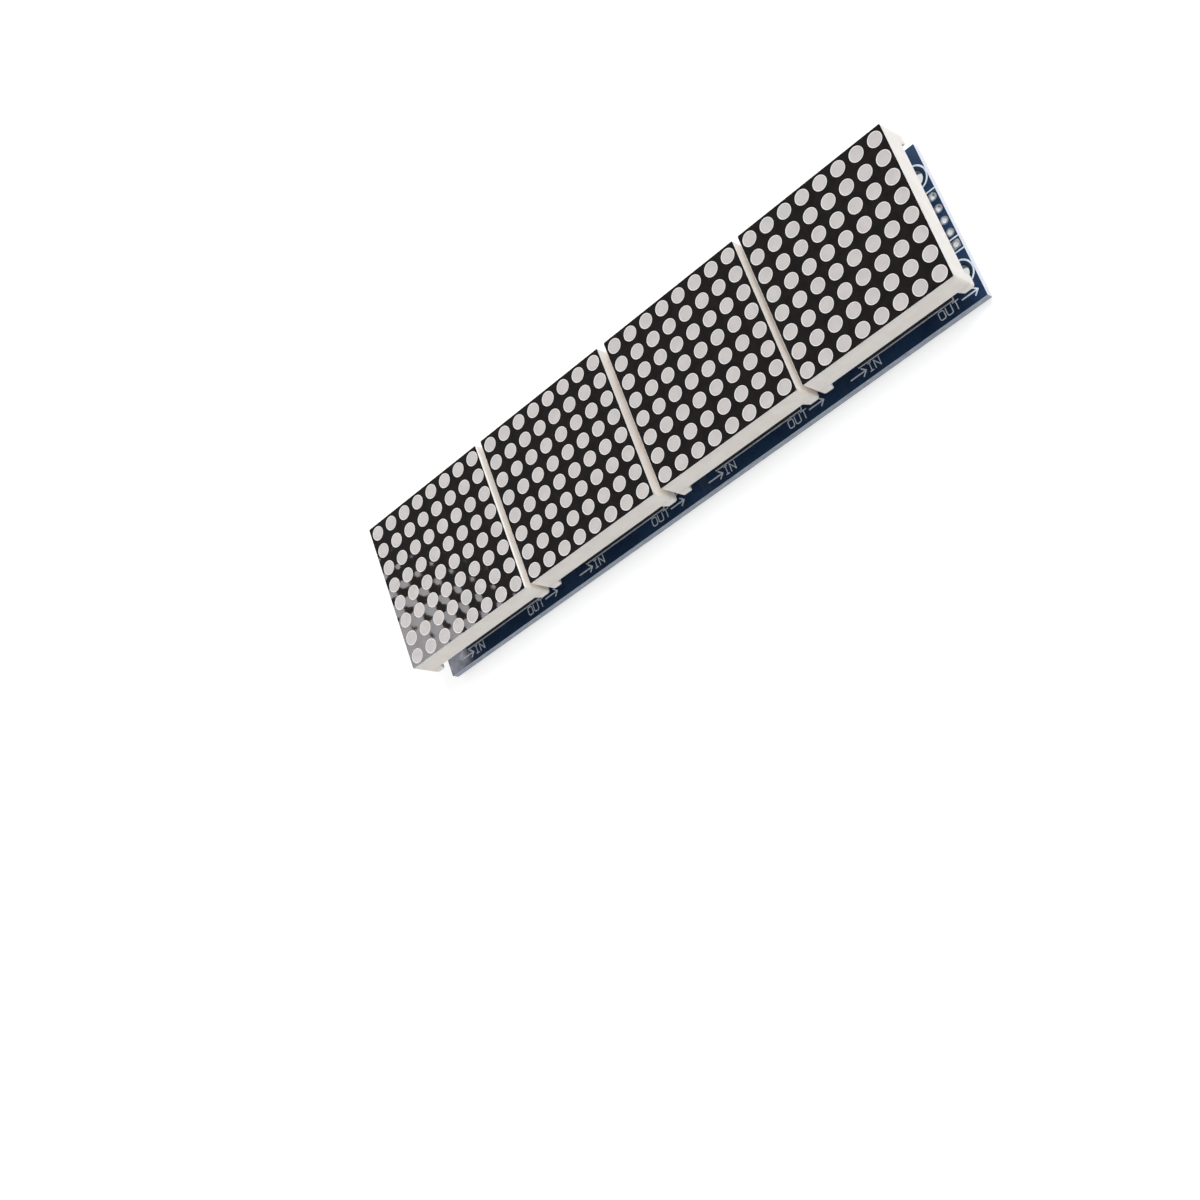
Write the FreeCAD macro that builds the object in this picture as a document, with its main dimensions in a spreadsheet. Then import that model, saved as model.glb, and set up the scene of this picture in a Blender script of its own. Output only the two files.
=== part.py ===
import FreeCAD, Part
import os
import Sketcher

# A display module of four 8 by 8 dot matrix displays in a row.
#
# One long board is laid out as equal sections. Each section carries a driver chip, its resistor and
# capacitors, and two strip sockets. A display plugs into the sockets and hides everything but the
# board's margins, where the header holes and the mounting holes are.
#
# X runs along the board, from its input end to its output end. Z points out of the display faces,
# from the tips of the solder joints on the board's back, which are what the module lies on.
# All sizes are in millimetres.

SIZES = {
    # Board
    "sections": 4,
    "section_pitch": 33.3,
    "section_length": 31.8,
    "board_width": 32.1,
    "board_thickness": 1.6,
    "outline_shift": 0.2,
    "bolt_hole": 3.0,
    "bolt_spacing_long": 26.9,
    "bolt_spacing_wide": 20.2,
    # Header rows, left open: one at each end of every section
    "pin_pitch": 2.54,
    "header_ways": 5,
    "header_spacing": 29.7,
    "header_hole": 1.0,
    # Strip sockets, their spring leaves, and the solder joints under them
    "socket_ways": 8,
    "socket_spacing": 24.0,
    "socket_width": 2.54,
    "socket_height": 6.0,
    "socket_end_wall": 0.5,
    "leaf_width": 1.0,
    "leaf_thickness": 0.3,
    "leaf_recess": 0.6,
    "joint_height": 1.2,
    "joint_base": 1.7,
    "joint_tip": 0.8,
    # Displays
    "display_face": 32.0,
    "display_height": 5.1,
    "display_flare": 0.05,
    "display_wall": 1.0,
    "led_board_thickness": 1.2,
    "film_thickness": 0.2,
    "film_margin": 0.1,
    "foot_height": 1.7,
    "foot_root": 2.7,
    "foot_end": 2.2,
    "display_pin": 0.5,
    "display_pin_length": 4.2,
    # How far each display sits from its section's centre, as it was pressed into its sockets
    "seat_shift_1": 0.2,
    "seat_shift_2": 0.03,
    "seat_shift_3": 0.28,
    "seat_shift_4": 0.1,
    # Dots: round windows in the face film
    "dots": 8,
    "dot_pitch": 4.0,
    "dot_diameter": 3.0,
    # Flats that draw each round window and each hole that nothing is fastened through
    "dot_flats": 8,
    "inner_hole_flats": 8,
    "header_hole_flats": 4,
    # Driver chip
    "chip_length": 15.4,
    "chip_width": 7.5,
    "chip_height": 2.3,
    "chip_bevel": 0.25,
    "chip_clearance": 0.15,
    "lead_count": 12,
    "lead_pitch": 1.27,
    "lead_width": 0.42,
    "lead_span": 10.3,
    # Small parts beside the chip
    "small_part_row": 8.0,
    "small_part_gap": 4.5,
    "resistor_length": 2.0,
    "resistor_width": 1.25,
    "resistor_height": 0.5,
    "bypass_length": 2.0,
    "bypass_width": 1.25,
    "bypass_height": 0.9,
    "reservoir_length": 3.2,
    "reservoir_width": 1.6,
    "reservoir_height": 1.6,
}

# Heights above the tips of the solder joints, and other places worked out from the sizes
BOARD_BACK = "Sizes.joint_height"
BOARD_FRONT = "(Sizes.joint_height + Sizes.board_thickness)"
DISPLAY_BACK = "(Sizes.joint_height + Sizes.board_thickness + Sizes.socket_height)"
FILM_BACK = "(Sizes.display_height - Sizes.film_thickness)"
CAVITY = "(Sizes.display_face - 2 * Sizes.display_wall)"
FILM_SIDE = "(Sizes.display_face - 2 * Sizes.film_margin)"
DISPLAY_CORNER = "(Sizes.display_face / 2 + Sizes.display_flare)"
SOCKET_LENGTH = "Sizes.socket_ways * Sizes.pin_pitch"
SLOT_WIDTH = "(Sizes.display_pin + 2 * Sizes.leaf_thickness)"
FIRST_PIN = "-(Sizes.socket_ways - 1) / 2 * Sizes.pin_pitch"
PIN_ROW = "Sizes.socket_spacing / 2"
LEAF_OFFSET = "(Sizes.display_pin + Sizes.leaf_thickness) / 2"


def make_sheet(doc):
    """The driving sizes, one alias to a row."""
    sheet = doc.addObject("Spreadsheet::Sheet", "Sizes")
    for row, (name, value) in enumerate(SIZES.items(), start=1):
        sheet.set(f"A{row}", name)
        sheet.set(f"B{row}", str(value))
        sheet.setAlias(f"B{row}", name)
    doc.recompute()


def section_place(section):
    """Where a section's centre is along the board."""
    return f"({section} - (Sizes.sections + 1) / 2) * Sizes.section_pitch"


def display_place(section):
    """Where the display that is plugged into a section is along the board."""
    return f"{section_place(section)} + Sizes.seat_shift_{section}"


def new_body(doc, label, along="0", height="0"):
    body = doc.addObject("PartDesign::Body", label)
    body.Label = label
    body.setExpression("Placement.Base.x", along)
    body.setExpression("Placement.Base.z", height)
    return body


def datum(body, role):
    """One of the body's own origin planes or axes."""
    return next(item for item in body.Origin.OriginFeatures if item.Role == role)


def new_sketch(body, plane="XY_Plane", place=("0", "0", "0")):
    sketch = body.newObject("Sketcher::SketchObject", "Sketch")
    sketch.AttachmentSupport = (datum(body, plane), [""])
    sketch.MapMode = "FlatFace"
    for axis, value in zip("xyz", place):
        sketch.setExpression(f"AttachmentOffset.Base.{axis}", value)
    return sketch


def closed_outline(sketch, points):
    """Straight edges through the points, joined end to end."""
    corners = [FreeCAD.Vector(x, y, 0) for x, y in points]
    count = len(corners)
    for index, corner in enumerate(corners):
        sketch.addGeometry(Part.LineSegment(corner, corners[(index + 1) % count]))
    for index in range(count):
        sketch.addConstraint(Sketcher.Constraint("Coincident", index, 2, (index + 1) % count, 1))


def dimension(sketch, kind, name, value, *ends):
    """A named dimension between two points, or from the origin to one, bound to the sheet."""
    number = sketch.addConstraint(Sketcher.Constraint(kind, *ends, 1.0))
    sketch.renameConstraint(number, name)
    sketch.setExpression(f"Constraints.{name}", value)


def rectangle(sketch, width, depth):
    """A rectangle centred on the sketch's origin."""
    closed_outline(sketch, [(-1, -1), (1, -1), (1, 1), (-1, 1)])
    for line, kind in enumerate(("Horizontal", "Vertical", "Horizontal", "Vertical")):
        sketch.addConstraint(Sketcher.Constraint(kind, line))
    sketch.addConstraint(Sketcher.Constraint("Symmetric", 0, 1, 2, 1, -1, 1))
    dimension(sketch, "DistanceX", "width", width, 0, 1, 0, 2)
    dimension(sketch, "DistanceY", "depth", depth, 1, 1, 1, 2)


def circle(sketch, diameter):
    sketch.addGeometry(Part.Circle(FreeCAD.Vector(0, 0, 0), FreeCAD.Vector(0, 0, 1), 1))
    sketch.addConstraint(Sketcher.Constraint("Coincident", 0, 3, -1, 1))
    dimension(sketch, "Diameter", "diameter", diameter, 0)


def pad(body, sketch, length, downward=False, both_ways=False):
    feature = body.newObject("PartDesign::Pad", "Pad")
    feature.Profile = sketch
    feature.Reversed = downward
    feature.SideType = "Symmetric" if both_ways else "One side"
    feature.setExpression("Length", length)
    return feature


def tapered_block(body, low, low_span, high, high_span, place=("0", "0")):
    """A block with flat, sloping sides: its heights, and its span at each, from edge to edge.

    The spans run out from the place along X and against Y.
    """
    feature = body.newObject("PartDesign::AdditiveWedge", "AdditiveWedge")
    feature.AttachmentSupport = (datum(body, "XZ_Plane"), [""])
    feature.MapMode = "FlatFace"
    feature.setExpression("AttachmentOffset.Base.x", place[0])
    feature.setExpression("AttachmentOffset.Base.z", f"-({place[1]})")
    feature.setExpression("Ymin", low)
    feature.setExpression("Ymax", high)
    for across in "XZ":
        feature.setExpression(f"{across}min", low_span[0])
        feature.setExpression(f"{across}max", low_span[1])
        feature.setExpression(f"{across}2min", high_span[0])
        feature.setExpression(f"{across}2max", high_span[1])
    return feature


def flat_sided_hole(body, flats, across, depth, place):
    """A round opening drawn with a few flats, which touch the round from outside."""
    hole = body.newObject("PartDesign::SubtractivePrism", "SubtractivePrism")
    hole.AttachmentSupport = (datum(body, "XY_Plane"), [""])
    hole.MapMode = "FlatFace"
    hole.setExpression("AttachmentOffset.Base.x", place[0])
    hole.setExpression("AttachmentOffset.Base.y", place[1])
    hole.setExpression("AttachmentOffset.Rotation.Angle", f"180 / {flats}")
    hole.setExpression("Polygon", flats)
    hole.setExpression("Circumradius", f"{across} / 2 / cos(180 deg / {flats})")
    hole.setExpression("Height", depth)
    return hole


def square(body, side, place=("0", "0", "0")):
    """A sketch of one square, centred at a place."""
    sketch = new_sketch(body, place=place)
    rectangle(sketch, side, side)
    return sketch


def pocket(body, sketch, depth=None):
    """A cut down from the sketch, or through everything on both sides of it."""
    feature = body.newObject("PartDesign::Pocket", "Pocket")
    feature.Profile = sketch
    if depth is None:
        feature.SideType = "Symmetric"
        feature.Type = "ThroughAll"
    else:
        feature.setExpression("Length", depth)
    return feature


def row_of(body, role, count, spacing):
    """Copies in a row along one of the body's axes."""
    pattern = body.newObject("PartDesign::LinearPattern", "LinearPattern")
    pattern.Direction = (datum(body, role), [""])
    pattern.Mode = "Spacing"
    pattern.setExpression("Occurrences", count)
    pattern.setExpression("Offset", spacing)
    return pattern


def mirror(body, role):
    mirrored = body.newObject("PartDesign::Mirrored", "Mirrored")
    mirrored.MirrorPlane = (datum(body, role), [""])
    return mirrored


def repeat(body, feature, *steps):
    """Copies of a feature: in one row, or in rows of rows."""
    if len(steps) == 1:
        steps[0].Originals = [feature]
        body.Tip = steps[0]
        return
    grid = body.newObject("PartDesign::MultiTransform", "MultiTransform")
    grid.Originals = [feature]
    grid.Transformations = list(steps)
    body.Tip = grid


def make_board(doc):
    """The board, with its mounting holes and header holes.

    Its outline and mounting holes lie a little off the centre line of its sockets and headers.
    """
    body = new_body(doc, "circuit_board", height=BOARD_BACK)
    outline = new_sketch(body, place=("0", "-Sizes.outline_shift", "0"))
    rectangle(
        outline,
        "(Sizes.sections - 1) * Sizes.section_pitch + Sizes.section_length",
        "Sizes.board_width",
    )
    pad(body, outline, "Sizes.board_thickness")

    # A screw goes through each of the four end holes, so these are round
    end_spacing = "((Sizes.sections - 1) * Sizes.section_pitch + Sizes.bolt_spacing_long)"
    first_hole = "-Sizes.bolt_spacing_wide / 2 - Sizes.outline_shift"
    end_hole = new_sketch(body, place=(f"-{end_spacing} / 2", first_hole, "0"))
    circle(end_hole, "Sizes.bolt_hole")
    repeat(
        body,
        pocket(body, end_hole),
        row_of(body, "X_Axis", "2", end_spacing),
        row_of(body, "Y_Axis", "2", "Sizes.bolt_spacing_wide"),
    )

    # The same holes on both sides of every line between two sections
    across_line = "(Sizes.section_pitch - Sizes.bolt_spacing_long)"
    first_line = "-(Sizes.sections - 2) / 2 * Sizes.section_pitch"
    inner_hole = flat_sided_hole(
        body,
        "Sizes.inner_hole_flats",
        "Sizes.bolt_hole",
        "Sizes.board_thickness",
        (f"{first_line} - {across_line} / 2", first_hole),
    )
    repeat(
        body,
        inner_hole,
        row_of(body, "X_Axis", "2", across_line),
        row_of(body, "Y_Axis", "2", "Sizes.bolt_spacing_wide"),
        row_of(body, "X_Axis", "Sizes.sections - 1", "Sizes.section_pitch"),
    )

    first_row = "-(Sizes.sections - 1) / 2 * Sizes.section_pitch - Sizes.header_spacing / 2"
    header_hole = flat_sided_hole(
        body,
        "Sizes.header_hole_flats",
        "Sizes.header_hole",
        "Sizes.board_thickness",
        (first_row, "-(Sizes.header_ways - 1) / 2 * Sizes.pin_pitch"),
    )
    repeat(
        body,
        header_hole,
        row_of(body, "Y_Axis", "Sizes.header_ways", "Sizes.pin_pitch"),
        row_of(body, "X_Axis", "2", "Sizes.header_spacing"),
        row_of(body, "X_Axis", "Sizes.sections", "Sizes.section_pitch"),
    )


def make_socket(doc, section, name, side):
    """A strip socket, with one long slot for its spring leaves and the display's pins."""
    body = new_body(doc, f"{name}_{section}", section_place(section), BOARD_FRONT)
    row = f"{side} * {PIN_ROW}"
    outline = new_sketch(body, place=("0", row, "0"))
    rectangle(outline, SOCKET_LENGTH, "Sizes.socket_width")
    pad(body, outline, "Sizes.socket_height")
    slot = new_sketch(body, place=("0", row, "0"))
    rectangle(slot, f"{SOCKET_LENGTH} - 2 * Sizes.socket_end_wall", SLOT_WIDTH)
    pocket(body, slot)


def make_leaves(doc, section):
    """Spring leaves: each stands on the board, between its socket's wall and a display pin."""
    body = new_body(doc, f"socket_contacts_{section}", section_place(section), BOARD_FRONT)
    leaf = new_sketch(body, place=(FIRST_PIN, f"{PIN_ROW} + {LEAF_OFFSET}", "0"))
    rectangle(leaf, "Sizes.leaf_width", "Sizes.leaf_thickness")
    repeat(
        body,
        pad(body, leaf, "Sizes.socket_height - Sizes.leaf_recess"),
        row_of(body, "X_Axis", "Sizes.socket_ways", "Sizes.pin_pitch"),
        mirror(body, "XZ_Plane"),
    )


def make_joints(doc, section):
    """Solder joints on the board's back, one under each spring leaf."""
    body = new_body(doc, f"solder_joints_{section}", section_place(section), BOARD_BACK)
    joint = tapered_block(
        body,
        "-Sizes.joint_height",
        ("-Sizes.joint_tip / 2", "Sizes.joint_tip / 2"),
        "0",
        ("-Sizes.joint_base / 2", "Sizes.joint_base / 2"),
        (FIRST_PIN, PIN_ROW),
    )
    repeat(
        body,
        joint,
        row_of(body, "X_Axis", "Sizes.socket_ways", "Sizes.pin_pitch"),
        mirror(body, "XZ_Plane"),
    )


def make_housing(doc, section):
    """The moulded housing: drafted walls, a ledge for the face film, and a foot at each corner."""
    body = new_body(doc, f"display_housing_{section}", display_place(section), DISPLAY_BACK)
    tapered_block(
        body,
        "0",
        (f"-{DISPLAY_CORNER}", DISPLAY_CORNER),
        "Sizes.display_height",
        ("-Sizes.display_face / 2", "Sizes.display_face / 2"),
    )
    pocket(body, square(body, CAVITY))
    ledge = square(body, FILM_SIDE, ("0", "0", "Sizes.display_height"))
    pocket(body, ledge, "Sizes.film_thickness")

    foot = tapered_block(
        body,
        "-Sizes.foot_height",
        (f"{DISPLAY_CORNER} - Sizes.foot_end", DISPLAY_CORNER),
        "0",
        (f"{DISPLAY_CORNER} - Sizes.foot_root", DISPLAY_CORNER),
    )
    repeat(body, foot, mirror(body, "YZ_Plane"), mirror(body, "XZ_Plane"))


def make_film(doc, section):
    """The black face film, with a window for each dot."""
    height = f"{DISPLAY_BACK} + {FILM_BACK}"
    body = new_body(doc, f"face_film_{section}", display_place(section), height)
    pad(body, square(body, FILM_SIDE), "Sizes.film_thickness")
    corner = "-(Sizes.dots - 1) / 2 * Sizes.dot_pitch"
    window = flat_sided_hole(
        body, "Sizes.dot_flats", "Sizes.dot_diameter", "Sizes.film_thickness", (corner, corner)
    )
    repeat(
        body,
        window,
        row_of(body, "X_Axis", "Sizes.dots", "Sizes.dot_pitch"),
        row_of(body, "Y_Axis", "Sizes.dots", "Sizes.dot_pitch"),
    )


def make_block(doc, label, place, height, width, depth, thickness):
    """A plain rectangular piece on its own centre line."""
    body = new_body(doc, label, place, height)
    outline = new_sketch(body)
    rectangle(outline, width, depth)
    pad(body, outline, thickness)
    return body


def make_display_core(doc, section):
    """What the housing holds: the board of light-emitting dies and the milky resin on it."""
    place = display_place(section)
    make_block(
        doc, f"led_board_{section}", place, DISPLAY_BACK, CAVITY, CAVITY, "Sizes.led_board_thickness"
    )
    make_block(
        doc,
        f"resin_fill_{section}",
        place,
        f"{DISPLAY_BACK} + Sizes.led_board_thickness",
        CAVITY,
        CAVITY,
        f"{FILM_BACK} - Sizes.led_board_thickness",
    )


def make_display_pins(doc, section):
    """The display's pins, which go down into the two sockets."""
    body = new_body(doc, f"display_pins_{section}", display_place(section), DISPLAY_BACK)
    pin = square(body, "Sizes.display_pin", (FIRST_PIN, PIN_ROW, "0"))
    repeat(
        body,
        pad(body, pin, "Sizes.display_pin_length", downward=True),
        row_of(body, "X_Axis", "Sizes.socket_ways", "Sizes.pin_pitch"),
        mirror(body, "XZ_Plane"),
    )


def make_chip(doc, section):
    """The driver chip: a moulded body with bevelled flanks, drawn by its end profile."""
    height = f"{BOARD_FRONT} + Sizes.chip_clearance"
    body = new_body(doc, f"driver_chip_{section}", section_place(section), height)
    end = new_sketch(body, plane="YZ_Plane")
    closed_outline(end, [(-3, 0), (3, 0), (4, 1), (3, 2), (-3, 2), (-4, 1)])
    y_axis = -2
    for left, right in ((0, 1), (4, 3), (5, 2)):
        end.addConstraint(Sketcher.Constraint("Symmetric", left, 1, right, 1, y_axis))
    end.addConstraint(Sketcher.Constraint("PointOnObject", 0, 1, -1))
    narrow = "Sizes.chip_width - 2 * Sizes.chip_bevel"
    dimension(end, "DistanceX", "bottom", narrow, 0, 1, 0, 2)
    dimension(end, "DistanceX", "top", narrow, 4, 1, 3, 1)
    dimension(end, "DistanceX", "middle", "Sizes.chip_width", 5, 1, 2, 1)
    dimension(end, "DistanceY", "half", "Sizes.chip_height / 2", 1, 1, 2, 1)
    dimension(end, "DistanceY", "whole", "Sizes.chip_height", 1, 1, 3, 1)
    pad(body, end, "Sizes.chip_length", both_ways=True)


def make_leads(doc, section):
    """The chip's leads: sloping wedges from the parting line on its flanks down to the board."""
    body = new_body(doc, f"driver_leads_{section}", section_place(section), BOARD_FRONT)
    first = "-(Sizes.lead_count - 1) / 2 * Sizes.lead_pitch"
    side = new_sketch(body, plane="YZ_Plane", place=("0", "0", first))
    closed_outline(side, [(4, 0), (5, 0), (4, 1)])
    side.addConstraint(Sketcher.Constraint("Horizontal", 0))
    side.addConstraint(Sketcher.Constraint("Vertical", 2))
    side.addConstraint(Sketcher.Constraint("PointOnObject", 0, 1, -1))
    dimension(side, "DistanceX", "flank", "Sizes.chip_width / 2", -1, 1, 0, 1)
    dimension(side, "DistanceX", "reach", "Sizes.lead_span / 2", -1, 1, 0, 2)
    parting_line = "Sizes.chip_clearance + Sizes.chip_height / 2"
    dimension(side, "DistanceY", "rise", parting_line, 2, 2, 2, 1)
    repeat(
        body,
        pad(body, side, "Sizes.lead_width", both_ways=True),
        row_of(body, "X_Axis", "Sizes.lead_count", "Sizes.lead_pitch"),
        mirror(body, "XZ_Plane"),
    )


def make_small_parts(doc, section):
    """The resistor and the two capacitors, in a line beside the chip."""
    for step, name in ((-1, "resistor"), (0, "bypass"), (1, "reservoir")):
        label = "current_resistor" if name == "resistor" else f"{name}_capacitor"
        body = make_block(
            doc,
            f"{label}_{section}",
            f"{section_place(section)} + {step} * Sizes.small_part_gap",
            BOARD_FRONT,
            f"Sizes.{name}_length",
            f"Sizes.{name}_width",
            f"Sizes.{name}_height",
        )
        body.setExpression("Placement.Base.y", "-Sizes.small_part_row")


def make_module(doc):
    make_board(doc)
    for section in range(1, SIZES["sections"] + 1):
        make_socket(doc, section, "upper_socket", "1")
        make_socket(doc, section, "lower_socket", "-1")
        make_leaves(doc, section)
        make_joints(doc, section)
        make_chip(doc, section)
        make_leads(doc, section)
        make_small_parts(doc, section)
        make_housing(doc, section)
        make_display_core(doc, section)
        make_film(doc, section)
        make_display_pins(doc, section)


def write_parts(doc):
    """Checks every object and every sub-part, and then writes one file for each sub-part."""
    for item in doc.Objects:
        if {"Invalid", "Error"} & set(item.State):
            raise RuntimeError(f"{item.Label}: {item.State}")
    bodies = [item for item in doc.Objects if item.TypeId == "PartDesign::Body"]
    for body in bodies:
        if body.Shape.isNull() or not body.Shape.isValid():
            raise RuntimeError(f"{body.Label}: no valid shape")
    os.makedirs("parts", exist_ok=True)
    for body in bodies:
        body.Shape.exportStep(f"parts/{body.Label}.step")
        print(body.Label, len(body.Shape.Solids), round(body.Shape.Volume, 2))


document = FreeCAD.newDocument("DotMatrixModule")
make_sheet(document)
make_module(document)
document.recompute()
write_parts(document)
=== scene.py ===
"""Looks of a row of four LED dot matrix displays on one board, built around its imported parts.

Shapes are made in millimetres and become meshes in metres. X runs along the board from its input end
to its output end, Y across it, and Z up out of the displays' faces.
"""

import math

import bmesh
import bpy
from mathutils import Matrix, Vector


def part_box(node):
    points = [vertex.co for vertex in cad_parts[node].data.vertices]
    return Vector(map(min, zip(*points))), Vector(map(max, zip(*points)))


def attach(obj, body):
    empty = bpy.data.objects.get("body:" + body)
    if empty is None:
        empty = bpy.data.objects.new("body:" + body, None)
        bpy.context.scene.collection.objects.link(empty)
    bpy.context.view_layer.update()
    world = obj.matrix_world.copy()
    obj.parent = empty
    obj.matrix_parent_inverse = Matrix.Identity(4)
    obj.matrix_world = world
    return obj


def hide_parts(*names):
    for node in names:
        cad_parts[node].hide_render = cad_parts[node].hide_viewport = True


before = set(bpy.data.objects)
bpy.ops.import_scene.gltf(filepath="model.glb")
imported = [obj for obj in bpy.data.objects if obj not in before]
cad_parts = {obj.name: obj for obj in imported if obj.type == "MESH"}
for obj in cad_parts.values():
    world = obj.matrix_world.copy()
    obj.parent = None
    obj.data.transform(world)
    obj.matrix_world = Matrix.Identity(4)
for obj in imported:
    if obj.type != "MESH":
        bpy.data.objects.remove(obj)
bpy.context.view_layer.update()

MM = 0.001
SECTIONS = (1, 2, 3, 4)

# Face of a display
DOTS = 8
DOT_PITCH = 4.0
WINDOW_RADIUS = 1.47
CUP_WIDTH = 0.13
CUP_SINK = 0.05
LENS_SINK = 0.08
LENS_DISH = 0.06
LENS_ROOT = 0.05
LENS_SHARES = (1.0, 0.85, 0.6, 0.3)
FILM_CORNER = 0.15
FIRST_TRIM = 0.2

# Housing: RIM is its edge round the film, and each step of its upper edge goes in, down and sharper
CORNERS = ((1, 1), (-1, 1), (-1, -1), (1, -1))
RIM = 0.1
CORNER = 0.55
TIGHT_CORNER = 0.05
UPPER_EDGE = ((0.0, 0.14, 0.0), (0.02, 0.04, 0.0), (0.06, 0.0, 0.04))
LOWER_EDGE = 0.12
LOWER_EDGE_MIDDLE = LOWER_EDGE * 0.3
FOOT_ROOT = 2.7
FOOT_END = 2.2
FOOT_CORNER = 0.2
FOOT_SINK = 0.02

# Board
HOLE_LONG = 13.45
HOLE_WIDE = 10.1
HOLE_RADIUS = 1.5
HEADER_OUT = 14.85
HEADER_WAYS = 5
PIN_PITCH = 2.54
PIN_HOLE_RADIUS = 0.53
PAD_RADIUS = 0.8
PAD_RISE = 0.03
SQUARE_SPREAD = 1.3
MASK_MARGIN = 0.02
MASK_GAP = 0.22
BOARD_MARGIN = 0.02
WAYS = 8
PIN_ROW = 12.0

# Tracks on the board
COPPER_RISE = 0.03
FAN_WIDTH = 0.34
VIA_ROW = 7.0
VIA_RADIUS = 0.42
VIA_HOLE = 0.16
VIA_RISE = 0.01
LEAD_TRACK_END = 5.3
LEAD_TRACK_WIDTH = 0.3
SIGNAL_WAYS = 3
SIGNAL_WIDTH = 0.45
POWER_WIDTH = 1.1
PAD_OVERLAP = 0.1

# White print: places are along X from the middle of a section's print, and an arrow's last is its Y
INK_WIDTH = 0.27
INK_SHIFT = 0.12
INK_RISE = 0.012
INK_STEP = 0.002
INK_LAYERS = 5
LETTER_STROKE = 0.19
LETTER_WIDTH = 1.1
LETTER_HEIGHT = 1.55
LETTER_BASE = -15.25
LETTER_PLACES = (("I", -8.66), ("N", -7.2), ("O", 6.7), ("U", 8.22), ("T", 9.78))
ARROW_PLACES = ((-12.42, -9.07, -14.49), (11.52, 14.75, -14.31))
ARROW_HEAD = 0.8
ARROW_REACH = 0.75
RING_OUTER = 2.52
RING_INNER = 2.2
RING_SHIFT = 0.17
SOCKET_PRINT_LENGTH = 10.15
SOCKET_PRINT_WIDTH = 1.36
HEADER_PRINT_OUT = 1.0

# Sockets and their solder joints
WAY_GROOVE = 0.16
WAY_HOLE = 0.55
WAY_FUNNEL = 0.8
FUNNEL_DEPTH = 0.35
JOINT_PROFILE = ((0.82, 0.0), (0.8, 0.1), (0.62, 0.32), (0.45, 0.58), (0.36, 0.8), (0.3, 0.94), (0.18, 1.0))

# Chip, with the bends of its leads by how far they lie in from a lead's tip
CHIP_EDGE = 0.06
MARK_RADIUS = 0.5
MARK_DEPTH = 0.12
MARK_IN = (1.6, 1.7)
LEADS_A_SIDE = 12
LEAD_PITCH = 1.27
LEAD_WIDTH = 0.42
LEAD_THICKNESS = 0.2
LEAD_ROOT = 1.9
LEAD_SHOULDER = 1.0
LEAD_KNEE = 0.8
LEAD_KNEE_DROP = 0.15
LEAD_ANKLE = 0.62
LEAD_ANKLE_RISE = 0.12
LEAD_HEEL = 0.45

# Resistors and capacitors
END_CAP_SHARE = 0.2
END_CAP_SKIN = 0.03
END_CAP_EDGE = 0.06
CERAMIC_EDGE = 0.04

# Points round a curve, and angles between faces
ROUND_STEPS = 32
SMALL_STEPS = 24
JOINT_STEPS = 20
VIA_STEPS = 16
LINE_END_STEPS = 6
CORNER_STEPS = 5
SHARP_ANGLE = math.radians(30)
SMOOTH_ANGLE = math.radians(50)

# Patterns in materials: the spans of a noise that colour and gloss follow, and a plain wave's length
TINT_SPAN = (0.35, 0.65)
GLOSS_SPAN = (0.3, 0.7)
WAVE_LENGTH = math.pi / 10

# Camera
CAMERA_PLACE = (0.159066, -0.165824, 0.280340)
CAMERA_RIGHT = Vector((0.70373205, -0.31713288, -0.63575777))
CAMERA_UP = Vector((0.49434205, 0.86128043, 0.11756679))
CAMERA_LENS = 58.38
CAMERA_RANGE = (0.01, 20)
SENSOR = 36.0
HALF_DOT = 0.5 / 1200

# Light
WORLD_LIGHT = 0.72
FLOOR_SIDE = 12
FLOOR_GREY = 0.5
FLOOR_GLOW_SEEN = 0.65
FLOOR_GLOW_MIRRORED = 0.75


def node_box(node):
    """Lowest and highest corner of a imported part, in millimetres."""
    low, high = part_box(node)
    return low / MM, high / MM


def node_centre(node):
    low, high = node_box(node)
    return (low + high) / 2


def section_centre(number):
    return node_centre(f"upper_socket_{number}").x


def display_centre(number):
    return node_centre(f"face_film_{number}").x


BOARD_LOW, BOARD_HIGH = node_box("circuit_board")
FILM_LOW, FILM_HIGH = node_box("face_film_1")
BOARD_MIDDLE = (BOARD_LOW + BOARD_HIGH) / 2
BACK = BOARD_LOW.z
FRONT = BOARD_HIGH.z
FACE = FILM_HIGH.z
FILM_BACK = FILM_LOW.z
FILM_HALF = (FILM_HIGH.x - FILM_LOW.x) / 2


def circle(x, y, radius, steps=ROUND_STEPS):
    turns = (2 * math.pi * i / steps for i in range(steps))
    return [(x + radius * math.cos(a), y + radius * math.sin(a)) for a in turns]


def rectangle(x, y, half_x, half_y):
    return [
        (x - half_x, y - half_y),
        (x + half_x, y - half_y),
        (x + half_x, y + half_y),
        (x - half_x, y + half_y),
    ]


def round_rectangle(x, y, half_x, half_y, radii):
    """A rectangle whose corners have these radii, going round from its corner at +X and +Y."""
    points = []
    for (side_x, side_y), radius in zip(CORNERS, radii):
        middle = Vector((x + side_x * (half_x - radius), y + side_y * (half_y - radius)))
        start = math.atan2(side_y, side_x) - math.pi / 4
        points += [tuple(p) for p in arc(middle, radius, start, math.pi / 2, CORNER_STEPS)]
    return points


def arc(centre, radius, start, turn, steps):
    """Points on an arc, both ends included."""
    angles = (start + turn * i / steps for i in range(steps + 1))
    return [centre + radius * Vector((math.cos(a), math.sin(a))) for a in angles]


def left_of(run):
    return Vector((-run.y, run.x))


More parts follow.
